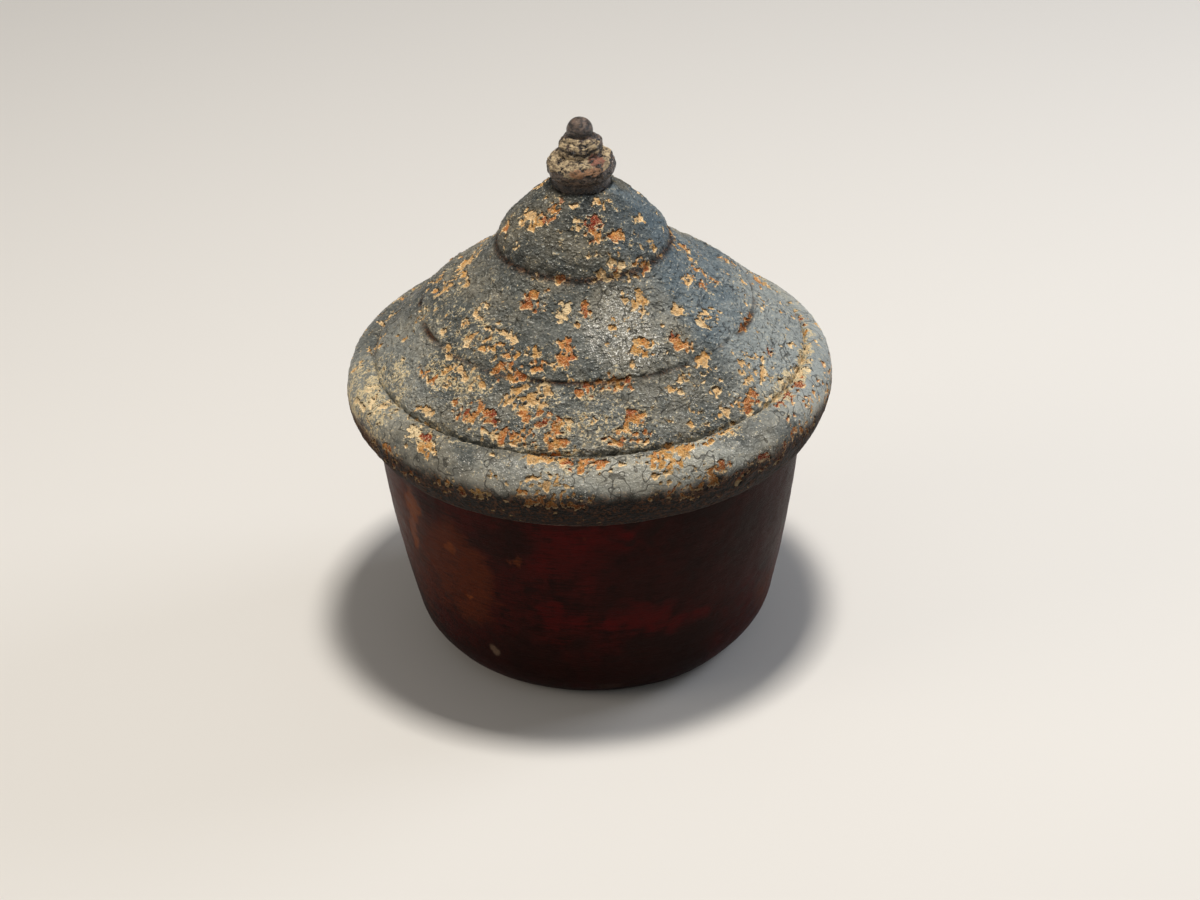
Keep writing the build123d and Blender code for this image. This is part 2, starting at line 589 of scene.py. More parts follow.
@dataclass(frozen=True)
class Finish:
    """What the finishes share. All patterns are read from an object's own coordinates in metres."""

    name: str

    OCTAVE_SHARE = 0.64  # how strong each octave of the grains is beside the one before

    def build(self) -> bpy.types.Material:
        """Builds the finish.

        Returns:
            The material.
        """
        material = bpy.data.materials.new(self.name)
        material.use_nodes = True
        material.node_tree.nodes.clear()
        self.lay(functools.partial(add_node, material.node_tree))
        return material

    def lay(self, add: AddNode) -> None:
        """Lays the finish down, node by node."""
        raise NotImplementedError

    def fields(self, add: AddNode, *names: str) -> list[Any]:
        """Reads the fields that the skin carries, in the order of their names."""
        return [add("Attribute", attribute_name=name).node.outputs["Fac"] for name in names]

    def grains(self, add: AddNode, place: Any, *sizes: tuple[float, float]) -> list[Any]:
        """Solid noise from 0 to 1.

        Args:
            add: Adds a node.
            place: Coordinates in metres.
            sizes: For each noise, the width of a feature and the number of finer octaves.

        Returns:
            The noises.
        """
        shared = {"Vector": place, "Roughness": self.OCTAVE_SHARE}
        return [
            add("TexNoise", {**shared, "Scale": per_metre(size), "Detail": octaves})
            for size, octaves in sizes
        ]

    def weighed(self, add: AddNode, start: float, *parts: tuple[Any, Any]) -> Any:
        """Adds up fields by weight.

        Args:
            add: Adds a node.
            start: What the sum starts from.
            parts: Fields, each with its weight, which may itself be a field.

        Returns:
            The sum.
        """
        total: Any = start
        for part, weight in parts:
            total = add("Math", {0: part, 1: weight, 2: total}, operation="MULTIPLY_ADD")
        return total

    def coated(self, add: AddNode, colour: Any, *coats: Coat) -> Any:
        """Lays coats over a colour in turn.

        Args:
            add: Adds a node.
            colour: Colour that they go over.
            coats: Coats from the lowest up.

        Returns:
            The colour that shows.
        """
        for coat in coats:
            levels = {"Value": coat.cover, "From Min": coat.nothing, "From Max": coat.full}
            levels["To Max"] = coat.strength
            share = add("MapRange", levels, interpolation_type="SMOOTHSTEP")
            colour = add("Mix", {"Factor": share, "A": colour, "B": coat.colour}, data_type="RGBA")
        return colour

    def finished(
        self, add: AddNode, colour: Any, rough: Any, relief: Any, ior: float, specular: float
    ) -> None:
        """Joins everything into the surface.

        Args:
            add: Adds a node.
            colour: The colour that shows.
            rough: Roughness from 0 to 1.
            relief: Relief in millimetres.
            ior: Index of refraction.
            specular: Specular level.
        """
        normal = add("Bump", {"Height": relief, "Distance": MM, "Strength": 1.0})
        shown = {"Base Color": colour, "Roughness": rough, "Normal": normal}
        surface = add("BsdfPrincipled", {**shown, "IOR": ior, "Specular IOR Level": specular})
        add("OutputMaterial", {"Surface": surface})


@dataclass(frozen=True)
class AgedGreyPaint(Finish):
    """Thick old paint, brushed on turned wood in many coats and weathered.

    The eye gets a leathery grey skin under a thin brown film, with painted shade under its wrinkles
    and a painted highlight on their upper sides, small painted glints and a few hair cracks. Angular
    chips with pale edges open it on tan, ochre, orange and red grounds, each with a painted shadow
    under its upper broken edge and a painted highlight on its lower one. Beige dirt is crusted in the
    hollows and the rim is dusted. A painted bluish sheen lies on the upward faces at the right, a
    painted sheen lightens the right side, and painted shade darkens the dome, the creases and the
    rim's underside. The finest grain is 0.3 mm wide, coarser than the brush's own marks, which
    wouldn't show.
    """

    shades: Ramp = ((0.22, "#282b2a"), (0.46, "#5c5f5b"), (0.6, "#7b7d77"), (0.86, "#b6b6ab"))
    # Colour of the painted bluish sheen on the upper right
    cool: str = "#6c8290"
    # Pale colour of the dusting and of the painted sheen on the right side
    dust: str = "#b1b2a8"
    dirt: str = "#d9c69c"
    # Colour of the painted glints
    glint: str = "#f1eee4"
    # Colour of the painted highlight on the wrinkles' upper sides
    crest: str = "#c3c4ba"
    film: str = "#8b7d60"
    grounds: Ramp = (
        (0.0, "#e6cfa4"),
        (0.28, "#d2ab78"),
        (0.5, "#c89450"),
        (0.74, "#bb7439"),
        (1.0, "#86301f"),
    )
    pit: str = "#38210f"
    rust: str = "#8a5228"
    # Pale chip edges, and the painted highlights on the chips' lower edges and grounds
    chip_edge: str = "#ffe2b0"
    shadow: str = "#0b0806"
    bare_wood: str = "#3b2415"
    powder: str = "#6e1410"
    # The wrinkles' painted shade and highlight compare each place with one a little higher up
    wrinkle_step: float = 0.6  # how far up a wrinkle's other side is looked for
    wrinkle_squash: float = 1.6  # wrinkles are so many times wider than high
    broken: Span = (-0.03, 0.04)  # from paint to chip, across a broken edge

    def lay(self, add: AddNode) -> None:
        """Lays paint, dirt, chips, painted light and shade, and the powder-stained inside.

        Args:
            add: Adds a node.
        """
        chip, above, below, tint, crust = self.fields(add, "chip", "above", "below", "tint", "crust")
        cool, dust, shade, inside = self.fields(add, "cool", "dust", "shade", "inside")
        sheen, wrinkled = self.fields(add, "sheen", "wrinkled")
        place = add("TexCoord").node.outputs["Object"]
        broad, chunk, medium, fine, grit = self.grains(
            add, place, (16, 4), (5, 1), (2.6, 4), (0.8, 3), (0.3, 1)
        )
        level = add("Mapping", {"Vector": place, "Scale": (1.0, 1.0, self.wrinkle_squash)})
        higher = add("Mapping", {"Vector": level, "Location": (0.0, 0.0, self.wrinkle_step * MM)})
        fold, fine_fold = self.grains(add, level, (2.2, 2), (0.9, 2))
        fold_above, fine_fold_above = self.grains(add, higher, (2.2, 2), (0.9, 2))

        # The skin of paint, with film, dusting, a painted shade over the dome, a painted bluish sheen and a
        # pale painted sheen, painted shade and highlight on the wrinkles, dirt, painted glints and hair
        # cracks
        # The tone is lifted where the rim is dusted and by a painted sheen on the right side, and lowered by
        # a painted shade over the dome
        tone = self.weighed(add, -0.25, (broad, 0.65), (medium, 0.42), (fine, 0.41), (dust, 0.2))
        # Painted shade and highlight on the wrinkles: noise here less the same noise a little higher up, as
        # if lit from above
        slant = self.weighed(
            add, 0.0, (fold, 1.0), (fold_above, -1.0), (fine_fold, 0.9), (fine_fold_above, -0.9)
        )
        slant = add("Math", {0: slant, 1: wrinkled}, operation="MULTIPLY")
        paint = add("ValToRGB", {0: tone}, self.shades)
        ragged = self.weighed(add, -1.35, (fine, 1.6), (medium, 1.1))
        edge = self.weighed(add, 0.0, (chip, 1.0), (ragged, 1.0))
        near = add("MapRange", {"Value": edge, "From Min": -0.9, "From Max": 0.0})
        speck = self.weighed(add, -0.5, (fine, 1.1), (medium, 0.5), (grit, 0.6), (crust, 0.36), (near, 0.16))
        # Painted glints: pale specks on the wrinkles, thicker where the paint has its sheen
        bright = self.weighed(add, -0.16, (grit, 0.7), (fine_fold, 0.5), (sheen, 0.12))
        filmed = self.weighed(add, 0.0, (broad, 1.0), (cool, -0.2))
        flaw = add("Math", {0: self.weighed(add, -0.5, (chunk, 1.0))}, operation="ABSOLUTE")
        hair = self.weighed(add, 0.045, (flaw, 1.0), (broad, -0.07), (medium, -0.01), (dust, -0.003))
        paint = self.coated(
            add,
            paint,
            Coat(filmed, 0.42, 0.62, self.film, 0.3),
            # Painted bluish sheen on the upper right
            Coat(cool, 0.0, 1.0, self.cool, 0.4),
            # Dusting, and a painted sheen on the right side
            Coat(dust, 0.0, 1.0, self.dust, 0.2),
            # Painted shade under the wrinkles and painted highlight on their upper sides
            Coat(slant, -0.12, -0.2, self.shades[0][1], 0.6),
            Coat(slant, 0.16, 0.23, self.crest, 0.5),
            Coat(speck, 0.8, 0.93, self.dirt, 0.9),
            # Painted glints
            Coat(bright, 0.6, 0.68, self.glint, 0.9),
            Coat(hair, 0.014, 0.006, self.shadow, 0.6),
        )

        # The ground in the chips, flecked with painted highlights, with a painted shadow under the upper
        # broken edge and a painted highlight on the lower one
        not_above = self.weighed(add, 0.0, (above, -1.0), (ragged, -1.0))
        not_below = self.weighed(add, 0.0, (below, -1.0), (ragged, -1.0))
        brow = add("Math", {0: edge, 1: not_above}, operation="MINIMUM")
        sill = add("Math", {0: edge, 1: not_below}, operation="MINIMUM")
        warm = self.weighed(add, -0.6, (tint, 1.0), (medium, 0.7), (fine, 0.5))
        ground = add("ValToRGB", {0: warm}, self.grounds)
        ground = self.coated(
            add,
            ground,
            Coat(fine, 0.47, 0.34, self.pit, 0.8),
            # Painted highlights on the chip ground
            Coat(grit, 0.5, 0.7, self.chip_edge, 0.5),
            Coat(edge, 0.22, 0.05, self.chip_edge, 0.45),
            # Painted highlight on the lower broken edge, and painted shadow under the upper one
            Coat(sill, -0.05, 0.15, self.chip_edge, 0.8),
            Coat(brow, -0.05, 0.1, self.shadow, 0.92),
        )

        # The powder-stained inside, and the painted shade under the rim and in the creases
        stain = self.weighed(add, 0.0, (broad, 1.0), (medium, 1.0))
        lining = self.coated(add, self.bare_wood, Coat(stain, 0.85, 1.15, self.powder, 0.7))
        # Colour of the painted shade: near black, mottled brown and flecked with rust
        grime = self.coated(
            add, self.shadow, Coat(fine, 0.45, 0.66, self.pit, 0.8), Coat(speck, 0.6, 0.8, self.rust, 0.7)
        )
        colour = self.coated(
            add,
            paint,
            # Painted shade under the rim and in the creases, under the chips and again over them
            Coat(shade, 0.0, 1.0, grime, 0.97),
            Coat(edge, *self.broken, ground),
            Coat(shade, 0.0, 1.0, self.shadow, 0.72),
            Coat(inside, 0.0, 1.0, lining),
        )

        # Gloss and relief
        low, high = self.broken
        broken = add("MapRange", {"Value": edge, "From Min": low, "From Max": high})
        rough = self.weighed(
            add, 0.14, (medium, 0.3), (broken, 0.4), (sheen, -0.05), (crust, 0.25), (shade, 0.4)
        )
        relief = self.weighed(add, 0.0, (medium, 0.9), (fine, 0.4), (fold, 1.5), (fine_fold, 0.8))
        relief = add("Math", {0: relief, 1: wrinkled}, operation="MULTIPLY")
        cracked = add("MapRange", {"Value": hair, "From Min": 0.016, "From Max": 0.004})
        relief = self.weighed(add, relief, (grit, 0.2), (broken, -0.35), (cracked, -0.15))
        self.finished(add, colour, rough, relief, ior=1.5, specular=0.16)


@dataclass(frozen=True)
class OxbloodLacquer(Finish):
    """Old oxblood lacquer wiped thin over turned wood and rubbed by hands.

    The eye gets a deep, uneven red-brown satin with fine turning lines across it, brighter crimson where the
    lacquer is thick, warm brown and ochre where it is worn, dark smudges, a painted shade just under the
    lid's rim, and darker patches towards the foot.
    """

    lacquer: str = "#36100d"
    deep: str = "#1e0c09"
    crimson: str = "#470d0c"
    warm: str = "#4c2110"
    ochre: str = "#80431c"
    # Near-black of the smudges, of the darkening towards the foot and of the painted shade under the lid
    smoke: str = "#1d120f"
    rubbed: str = "#8d7560"
    bare_wood: str = "#3f2616"
    powder: str = "#7a1512"
    line_squash: float = 14.0  # turning lines are so many times longer than high

    def lay(self, add: AddNode) -> None:
        """Lays lacquer in its shades, wear, smudges, painted shade under the lid and the powder-stained well.

        Args:
            add: Adds a node.
        """
        names = ("crimson", "warm", "ochre", "smoke", "inside", "pale")
        crimson, warm, ochre, smoke, inside, pale = self.fields(add, *names)
        place = add("TexCoord").node.outputs["Object"]
        lines = add("Mapping", {"Vector": place, "Scale": (1.0, 1.0, self.line_squash)})
        streak, fine_streak = self.grains(add, lines, (7, 4), (2.4, 3))
        broad, medium, grit = self.grains(add, place, (14, 4), (3.2, 5), (0.6, 3))

        tone = self.weighed(add, 0.0, (broad, 1.0), (medium, 1.0), (streak, 1.0))
        uneven = self.weighed(add, -1.25, (medium, 0.8), (streak, 1.7))
        coats = [Coat(tone, 1.2, 1.75, self.lacquer)]
        # The last coat lays the smudges, the darkening towards the foot and the painted shade under the lid
        for patch, code in ((warm, self.warm), (crimson, self.crimson), (smoke, self.smoke)):
            shown = add("MapRange", {"Value": patch, "From Max": 0.3})
            coats.append(Coat(self.weighed(add, 0.0, (uneven, shown), (patch, 1.0)), 0.0, 1.1, code, 0.95))
        worn_thin = self.weighed(add, -0.5, (medium, 0.6), (streak, 0.4), (ochre, 1.0))
        stain = self.weighed(add, 0.0, (broad, 1.0), (medium, 1.0))
        lining = self.coated(add, self.bare_wood, Coat(stain, 0.7, 1.05, self.powder, 0.9))
        colour = self.coated(
            add,
            self.deep,
            *coats,
            Coat(worn_thin, 0.2, 1.1, self.ochre, 0.7),
            Coat(fine_streak, 0.52, 0.68, self.deep, 0.6),
            Coat(pale, 0.0, 1.0, self.rubbed, 0.35),
            Coat(inside, 0.0, 1.0, lining),
        )
        rough = self.weighed(add, 0.28, (medium, 0.25), (inside, 0.4))
        relief = self.weighed(add, 0.0, (fine_streak, 0.12), (medium, 0.14), (grit, 0.06))
        self.finished(add, colour, rough, relief, ior=1.45, specular=0.04)


@dataclass(frozen=True)
class CrustedFinialWood(Finish):
    """Dark turned wood, polished by fingers at the ball and crusted with old paste in its hollows.

    The eye gets a smooth brown-black ball and collar, and between them a cream and ochre crust split by dark
    cracks, with a red stain at the right of the wide ring. Painted shade darkens the crust's creases and the
    ball's foot, and the collar is darkened too.
    """

    wood: str = "#150f0d"
    worn: str = "#7a6556"
    crust_pale: str = "#c3ad87"
    crust_dark: str = "#5a4b39"
    red: str = "#74281f"
    orange: str = "#9c6a48"
    crack: str = "#0e0907"
    squash: float = 1.8  # the crust's grain is so many times wider than high
    laid_on: Span = (0.38, 0.55)  # from bare wood to crust

    def lay(self, add: AddNode) -> None:
        """Lays worn wood, the crust in its colours, and the cracks with the painted shade in the creases.

        Args:
            add: Adds a node.
        """
        crust, red, orange, crack = self.fields(add, "crust", "red", "orange", "crack")
        place = add("TexCoord").node.outputs["Object"]
        level = add("Mapping", {"Vector": place, "Scale": (1.0, 1.0, self.squash)})
        medium, fine = self.grains(add, level, (1.9, 5), (0.7, 4))
        uneven = self.weighed(add, -1.1, (fine, 1.1), (medium, 1.1))
        wood = self.coated(
            add,
            self.wood,
            Coat(medium, 0.4, 0.62, self.worn, 0.75),
            Coat(fine, 0.58, 0.7, self.crust_pale, 0.3),
        )
        paste = self.coated(
            add,
            self.crust_dark,
            Coat(self.weighed(add, 0.0, (fine, 0.5), (medium, 0.5)), 0.4, 0.62, self.crust_pale),
            Coat(self.weighed(add, 0.0, (uneven, 1.0), (red, 1.0)), 0.5, 0.8, self.red, 0.8),
            Coat(self.weighed(add, 0.0, (uneven, 1.0), (orange, 1.0)), 0.5, 0.8, self.orange, 0.8),
            Coat(medium, 0.44, 0.34, self.crack, 0.7),
        )
        low, high = self.laid_on
        laid = self.weighed(add, 0.0, (uneven, 1.0), (crust, 1.0))
        # The cracks, with the painted shade in the creases and at the ball's foot, and the darkened collar
        colour = self.coated(add, wood, Coat(laid, low, high, paste), Coat(crack, 0.0, 1.0, self.crack, 0.9))
        covered_up = add("MapRange", {"Value": laid, "From Min": low, "From Max": high})
        rough = self.weighed(add, 0.16, (covered_up, 0.5), (fine, 0.12))
        relief = self.weighed(add, 0.0, (medium, 0.7), (fine, 0.35), (covered_up, 0.25))
        self.finished(add, colour, rough, relief, ior=1.5, specular=0.6)


@dataclass
class Cup:
    """Thick-walled lacquered cup with a rounded foot and a neck that the lid drops over."""

    base_radius: float = 41.0
    foot: Point = (49.4, 11.9)
    foot_belly: float = 1.5
    shoulder: Point = (57.5, 64.2)
    wall_belly: float = 1.05
    neck_radius: float = 53.0
    neck_top: float = 71.2
    mouth_radius: float = 48.5
    well_round: float = 20.0
    floor: float = 9.0
    closing: float = 0.6  # radius of the fans that close the skin at the axis
    shoulder_path: float = 68.6  # the shoulder's place along the outline, from the base's edge
    spacing: float = 0.7
    under_spacing: float = 1.6
    segments: int = 512
    seed: int = 11
    offset: float = -0.4
    soften: float = 0.45
    wander: Ripple = (0.15, 20)
    wear: tuple[Ripple, ...] = ((0.22, 26), (0.05, 3.5))
    turning_lines: Ripple = (0.03, 16)
    line_squash: float = 9.0
    ochre_depth: float = 0.12
    # Each kind of patch, with how far noise pulls its outlines about and the width of a pull
    ragged: tuple[tuple[str, float, float], ...] = (
        ("crimson", 5.0, 13),
        ("warm", 6.0, 16),
        ("ochre", 2.0, 5),
        ("smoke", 8.0, 12),
        ("pale", 0.8, 4),
    )
    crimson: tuple[Patch, ...] = (
        Patch(-20, 8, 50, 66, 0.55),
        Patch(-8, 9, 57, 66, 0.8),
        Patch(6, 23, 30, 38, 1.0),
        Patch(21, 32, 24, 32, 0.75),
        Patch(-17, -7, 31, 40, 0.6),
        Patch(-10, 1, 32, 37, 0.7),
        Patch(-6, 6, 40, 50, 0.4),
        Patch(100, 140, 35, 60, 0.6),
        Patch(165, 200, 22, 50, 0.55),
        Patch(-140, -110, 40, 62, 0.5),
    )
    warm: tuple[Patch, ...] = (
        Patch(-56, -27, 30, 60, 0.8),
        Patch(-78, -50, 20, 66, 0.6),
        Patch(60, 90, 10, 30, 0.6),
        Patch(120, 175, 10, 40, 0.5),
        Patch(-170, -120, 15, 55, 0.6),
    )
    ochre: tuple[Patch, ...] = (
        Patch(-62, -54, 51, 63, 0.75),
        Patch(-62, -57.5, 43, 52, 0.75),
        Patch(-46, -41, 48, 54, 0.6),
        Patch(-23.5, -20, 51, 55, 0.55),
        Patch(-39.5, -37, 34, 37.5, 0.7),
        Patch(-3, -1, 62, 64, 0.5),
        Patch(84, 90, 30, 44, 0.7),
        Patch(150, 154, 44, 56, 0.7),
        Patch(-128, -124, 30, 36, 0.7),
        Patch(-98, -95, 50, 58, 0.6),
    )
    # Dark smudges; the two bands at 63 to 71 mm, just under the lid's rim, are painted shade, and the three
    # below 26 mm darken the cup towards its foot
    smoke: tuple[Patch, ...] = (
        Patch(-34, -14, 50, 63, 0.42),
        Patch(-4, 32, 34, 62, 0.5),
        Patch(10, 76, 30, 70, 0.5),
        Patch(-10, 42, 0, 26, 0.75),
        Patch(-42, -8, 4, 26, 0.55),
        Patch(8, 45, 63, 70, 0.8),
        Patch(-30, 8, 66, 71, 0.5),
        Patch(90, 130, 0, 24, 0.6),
        Patch(-110, -80, 40, 66, 0.5),
        Patch(170, 230, 50, 68, 0.6),
    )
    pale: tuple[Patch, ...] = (Patch(-34.5, -32, 16, 20.5, 1.0), Patch(-1, 8, 5, 9, 0.25))

    def outline(self) -> tuple[Outline, Outline]:
        """Draws the cup.

        Returns:
            The underside, and all the rest up over the neck and down into the well.
        """
        under = Outline((self.base_radius, 0), self.under_spacing).line((self.closing, 0))
        skin = Outline((self.base_radius, 0), self.spacing)
        skin.swell(self.foot, self.foot_belly).swell(self.shoulder, self.wall_belly)
        skin.line((self.neck_radius, self.shoulder[1]), (self.neck_radius, self.neck_top))
        skin.line((self.mouth_radius, self.neck_top), (self.mouth_radius, self.floor + self.well_round))
        skin.bend((self.mouth_radius, self.floor), (self.mouth_radius - self.well_round, self.floor))
        skin.line((self.closing, self.floor))
        return under, skin

    def build(self, finish: OxbloodLacquer) -> bpy.types.Object:
        """Builds and dresses the cup.

        Args:
            finish: What the wood is finished with.

        Returns:
            The cup.
        """
        under, outer = self.outline()
        grain = Grain(self.seed)
        skin = TurnedSkin("pot_cup", under, outer, self.segments, self.soften, *self.wander, grain)
        inside = ease(skin.path, self.shoulder_path + 0.5, self.shoulder_path + 2.5)
        wear = sum(depth * grain.layers(skin.rest, size, 2) for depth, size in self.wear)
        depth, size = self.turning_lines
        wear += depth * grain.layers(skin.rest * np.array([1, 1, self.line_squash]), size, 2)
        skin.raised += wear * (1 - 0.6 * inside) * ease(skin.path, -3, 3)
        for name, ragged, size in self.ragged:
            skin.fields[name] = skin.patched(getattr(self, name), ragged, size)[0]
        skin.raised -= self.ochre_depth * skin.fields["ochre"]
        skin.fields["inside"] = inside
        cup = skin.mesh(shifted(self.offset))
        cup.data.materials.append(finish.build())
        return cup


@dataclass
class PaintedLid:
    """Stepped and domed lid with its thick weathered paint.

    Places are measured along the outline, from 0 at the rim's lower edge up to the crown, and below 0 inside.
    """

    rim_foot: Point = (59.5, 64.2)
    widest: Point = (65.0, 76.2)
    rim_lower_pull: float = 7.26
    rim_upper_pull: float = 6.04
    bead_top: Point = (59.4, 84.5)
    groove: Point = (57.3, 83.1)
    edge: Point = (56.4, 86.7)
    flank: Point = (44.6, 97.5)
    crease: Point = (43.7, 97.5)
    lip: Point = (43.2, 99.1)
    upper: Point = (36.4, 104.2)
    cove: Point = (22.8, 116.2)
    dome_foot: Point = (22.5, 116.2)
    dome_shoulder: Point = (20.8, 120.9)
    crown: Point = (8.5, 132.5)
    recess_radius: float = 53.4
    recess_top: float = 72.2
    ledge_radius: float = 49.8
    hollow_top: Point = (12.0, 110.0)
    hollow_belly: float = 6.5
    closing: float = 0.6  # radius of the fans that close the skin at the axis
    spacing: float = 0.42
    inner_spacing: float = 1.3
    segments: int = 960
    seed: int = 23
    soften: float = 0.4
    wander: Ripple = (0.45, 16)
    inside_span: Span = (1.0, -1.0)
    rim_span: Span = (26, 22)
    crown_span: Span = (99.2, 101)
    front: Span = (74, 96)  # degrees from the viewer, from placed chips alone to scattered ones
    back: Span = (80, 100)  # the same for the colours in the chips
    tear: Ripple = (0.55, 2.2)  # of the flakes' outlines
    crust_pull: Ripple = (4, 11)
    cool_pull: Ripple = (5, 14)
    shine_pull: Ripple = (3, 9)
    dust_pull: Ripple = (5, 12)
    # Beyond this span the dusting gives way to a painted shade that darkens the dome
    dust_end: Span = (75.5, 79)  # under the dome
    flakes: tuple[tuple[Flakes, float], ...] = ((Flakes(1.9, 31), 0.54), (Flakes(0.95, 47), 0.56))
    chip_depth: float = 0.34
    curl: float = 0.09  # how far paint stands up along a broken edge
    # Painted shade under the rim, in the groove, under the lip and under the dome
    under_grime: tuple[tuple[Span, float], ...] = (((16.3, 10.2), 0.9), ((10, 6), 0.1))
    groove_grime: Band = Band((25.8, 26.6, 27.2), (0, 0.5, 0))
    lip_grime: Band = Band((45.6, 47.2, 47.9, 48.7), (0, 0.9, 0.6, 0))
    dome_grime: Band = Band((74.2, 76.4, 78.2), (0, 0.75, 0))
    lean: float = 0.4  # of the dome, to the left
    lean_span: Span = (104, 119)  # heights
    shoulder_drop: float = 0.5
    shoulder_set: float = 0.3
    lost: tuple[Patch, ...] = (
        # Dome
        Patch(-78, -45, 86.5, 92, 0.7),
        Patch(-50, -28, 90, 96, 0.75, Tint.ORANGE),
        Patch(-40, -28, 95, 97.5, 0.6, Tint.RED),
        Patch(-12, 0, 89.5, 92.5, 0.6),
        Patch(2, 20, 89.5, 93.5, 0.95, Tint.RED),
        Patch(4, 17, 86.3, 90, 0.85, Tint.ORANGE),
        Patch(12, 40, 95.3, 99, 0.75),
        Patch(20, 35, 84.5, 89, 0.5, Tint.ORANGE),
        Patch(0, 10, 82, 84, 0.6),
        Patch(-85, -72, 81.5, 83.5, 0.6, Tint.ORANGE),
        Patch(44, 50, 84, 86, 0.7),
        Patch(56, 64, 87, 89, 0.6),
        Patch(-58, -52, 81, 83, 0.6),
        # Under the dome
        Patch(-18, -10, 75.3, 77.7, 0.85, Tint.ORANGE),
        Patch(11, 28, 75.3, 79.7, 0.6),
        Patch(17, 23, 77.7, 79.5, 0.9, Tint.RED),
        Patch(34, 44, 73.5, 79.5, 0.85, Tint.ORANGE),
        Patch(0, 6, 74.8, 77.2, 0.7),
        # Upper tier
        Patch(-37, -21, 67, 73.5, 0.6, Tint.ORANGE),
        Patch(-17, -9, 65.6, 70.4, 0.85, Tint.CREAM),
        Patch(-2.6, 2.6, 66, 70.4, 1.0, Tint.ORANGE),
        Patch(22, 33, 66.5, 74.5, 0.6),
        Patch(26, 30, 63.5, 66.5, 0.75),
        Patch(-58, -50, 58.8, 61.2, 0.65),
        Patch(-58, -52, 62.3, 64.7, 0.7),
        Patch(-37, -31, 57.7, 60.3, 0.75),
        Patch(-46, -38, 55, 60.5, 0.5),
        Patch(-25, -19, 54.6, 57.4, 0.75),
        Patch(-41, -27, 51.5, 56, 0.6, Tint.OCHRE),
        Patch(-12.5, -5.5, 53, 60.5, 0.85, Tint.ORANGE),
        Patch(-15, -9, 50.6, 53.4, 0.7),
        Patch(-21, -15, 51, 54, 0.75, Tint.ORANGE),
        Patch(15, 25, 53, 58, 0.75, Tint.OCHRE),
        Patch(8, 21, 61.5, 66.5, 0.3),
        Patch(32, 40, 51, 57, 0.7, Tint.ORANGE),
        Patch(49, 61, 53.5, 58.5, 0.6),
        Patch(45, 51, 65.7, 68.3, 0.6),
        Patch(42, 48, 61.7, 64.3, 0.6),
        Patch(61, 71, 65.8, 68.2, 0.5),
        Patch(69, 81, 59, 69, 0.6, Tint.ORANGE),
        Patch(-60, -54, 55, 58, 0.7),
        Patch(-53, -47, 51.5, 54.5, 0.7),
        # Lip over the lower tier
        Patch(-33, -23, 45.5, 51.5, 0.85, Tint.ORANGE),
        Patch(-56, -50, 46.6, 49.4, 0.6),
        Patch(-21, -13, 44.6, 49.4, 0.6, Tint.CREAM),
        Patch(-1, 15, 44.6, 49.4, 0.85, Tint.ORANGE),
        Patch(33, 45, 45.7, 48.3, 0.65),
        Patch(64, 76, 46.6, 49.4, 0.6, Tint.ORANGE),
        Patch(-6, 1, 43, 46, 0.75, Tint.ORANGE),
        # Lower tier
        Patch(-25, -11, 39.5, 46.5, 0.65),
        Patch(-28, -22, 39.6, 42.4, 0.85),
        Patch(-56, -37, 39.5, 46.5, 0.42),
        Patch(-61, -52, 37.6, 40.4, 0.8, Tint.ORANGE),
        Patch(-21, -9, 35.6, 39.4, 0.8, Tint.ORANGE),
        Patch(-9, 4, 35.5, 38.5, 0.45),
        Patch(-41, -27, 31.5, 38.5, 0.65, Tint.ORANGE),
        Patch(-25, -15, 29.5, 34.5, 0.8, Tint.ORANGE),
        Patch(-31, -25, 29.5, 32.5, 0.7),
        Patch(-12, -6, 29.5, 36.5, 0.9, Tint.ORANGE),
        Patch(4, 15, 29.5, 33.5, 0.85, Tint.ORANGE),
        Patch(9, 15, 31.5, 38.5, 0.75, Tint.ORANGE),
        Patch(27, 43, 29.5, 46.5, 0.2),
        Patch(22, 28, 40.6, 43.4, 0.65),
        Patch(41, 51, 29.5, 34.5, 0.8, Tint.ORANGE),
        Patch(49, 63, 31.5, 41.5, 0.42),
        Patch(65, 71, 36.5, 39.5, 0.75, Tint.RED),
        Patch(-53, -47, 29.5, 32.5, 0.75),
        # Groove behind the rim
        Patch(48, 92, 24, 30, 0.6, Tint.CREAM),
        Patch(-12.5, -5.5, 25.5, 28.5, 0.95, Tint.ORANGE),
        Patch(-7, 4, 20.7, 24.6, 0.9, Tint.ORANGE),
        Patch(-17, -7, 22.5, 26, 0.75, Tint.OCHRE),
        Patch(12, 24, 18.7, 25.3, 0.9, Tint.OCHRE),
        Patch(24, 38, 22.5, 26.5, 0.7, Tint.OCHRE),
        Patch(-48, -42, 25.6, 28.4, 0.8),
        Patch(-56, -50, 24.6, 27.4, 0.8),
        Patch(53, 69, 22.2, 25.8, 0.75, Tint.RED),
        # Rim bead
        Patch(-46, -42, 20.6, 23.2, 0.9, Tint.RED),
        Patch(-50, -39, 19.6, 25, 0.65, Tint.CREAM),
        Patch(-45, -39, 18, 21, 0.95, Tint.OCHRE),
        Patch(-75, -58, 16, 26, 0.26, Tint.CREAM),
        Patch(-15, -5, 14.5, 19.5, 0.4),
        Patch(15, 25, 14.5, 19.5, 0.4),
        Patch(26, 34, 14.4, 17.6, 0.85, Tint.ORANGE),
        Patch(-28.5, -23.5, 10.8, 13.2, 1.0, Tint.OCHRE),
        Patch(-59, -51, 12.6, 15.4, 0.75, Tint.ORANGE),
        Patch(-19, 1, 9.5, 14.5, 0.4, Tint.ORANGE),
        Patch(14, 31, 9.5, 14.5, 0.4, Tint.ORANGE),
        Patch(34, 52, 9.5, 14.5, 0.36, Tint.RED),
        Patch(-75, -30, 7, 13, 0.2, Tint.ORANGE),
        Patch(50, 85, 10, 20, 0.22, Tint.ORANGE),
    )
